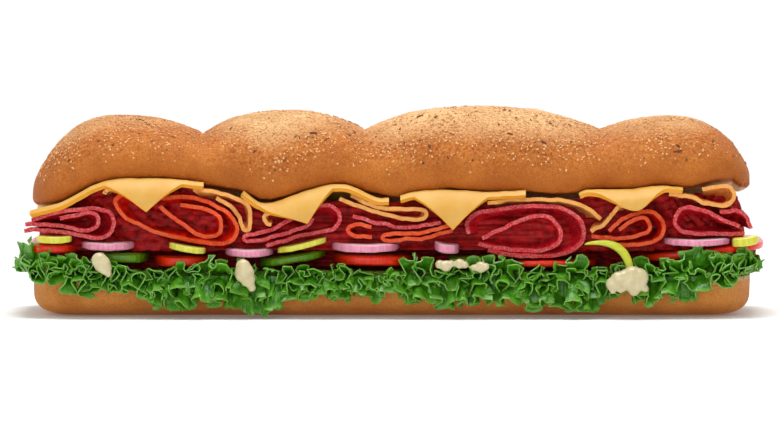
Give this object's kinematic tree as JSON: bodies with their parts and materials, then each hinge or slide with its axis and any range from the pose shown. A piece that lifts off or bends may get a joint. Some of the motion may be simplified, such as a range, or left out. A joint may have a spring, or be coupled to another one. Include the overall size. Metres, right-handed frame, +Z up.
{
  "type": "submarine sandwich",
  "caption": "Long filled sandwich roll with cheese corners, rolled salami and other meats, salad, ruffled lettuce and sauce showing all round.",
  "frame": {"origin": "middle of the footprint, on the table under the loaf", "axes": "+X along the loaf to the viewer's right, -Y towards the viewer's side, +Z up"},
  "size_m": [0.3149, 0.1076, 0.0864],
  "materials": {
    "crust": "baked, grainy, matt",
    "cheese": "waxy, half matt",
    "turkey": "moist, half matt",
    "salami": "moist, marbled",
    "pepperoni": "oily, half matt",
    "onion": "glossy, translucent",
    "pickle": "wet, glossy",
    "pepper": "wet, glossy",
    "tomato": "wet, glossy",
    "cucumber": "wet, glossy",
    "lettuce": "crisp, half matt",
    "sauce": "creamy, glossy"
  },
  "bodies": {
    "root": {"bread_bottom": "crust", "bread_top": "crust", "cheese_1": "cheese", "cheese_2": "cheese", "cheese_3": "cheese", "cheese_4": "cheese", "cucumber_1": "cucumber", "cucumber_2": "cucumber", "cucumber_3": "cucumber", "lettuce_1": "lettuce", "lettuce_2": "lettuce", "lettuce_3": "lettuce", "lettuce_4": "lettuce", "onion_1": "onion", "onion_2": "onion", "onion_3": "onion", "onion_4": "onion", "onion_5": "onion", "onion_6": "onion", "onion_7": "onion", "pepper_strip": "pepper", "pepperoni_left_inner": "pepperoni", "pepperoni_left_outer": "pepperoni", "pepperoni_middle_fold": "pepperoni", "pepperoni_middle_roll": "pepperoni", "pepperoni_right_inner": "pepperoni", "pepperoni_right_outer": "pepperoni", "pickle_1": "pickle", "pickle_2": "pickle", "pickle_3": "pickle", "pickle_4": "pickle", "pickle_5": "pickle", "salami_big_inner": "salami", "salami_big_outer": "salami", "salami_left_inner": "salami", "salami_left_outer": "salami", "salami_middle_flat": "salami", "salami_middle_fold": "salami", "salami_middle_roll": "salami", "salami_right_fold": "salami", "salami_right_outer": "salami", "sauce_1": "sauce", "sauce_2": "sauce", "sauce_3": "sauce", "sauce_4": "sauce", "sauce_5": "sauce", "sauce_6": "sauce", "tomato_1": "tomato", "tomato_2": "tomato", "tomato_3": "tomato", "tomato_4": "tomato", "tomato_5": "tomato", "turkey_left_curl": "turkey", "turkey_left_strand": "turkey", "turkey_middle_fold": "turkey", "turkey_right_fold": "turkey", "turkey_right_loop": "turkey", "turkey_right_top": "turkey", "turkey_small_loop": "turkey"}
  },
  "joints": []
}
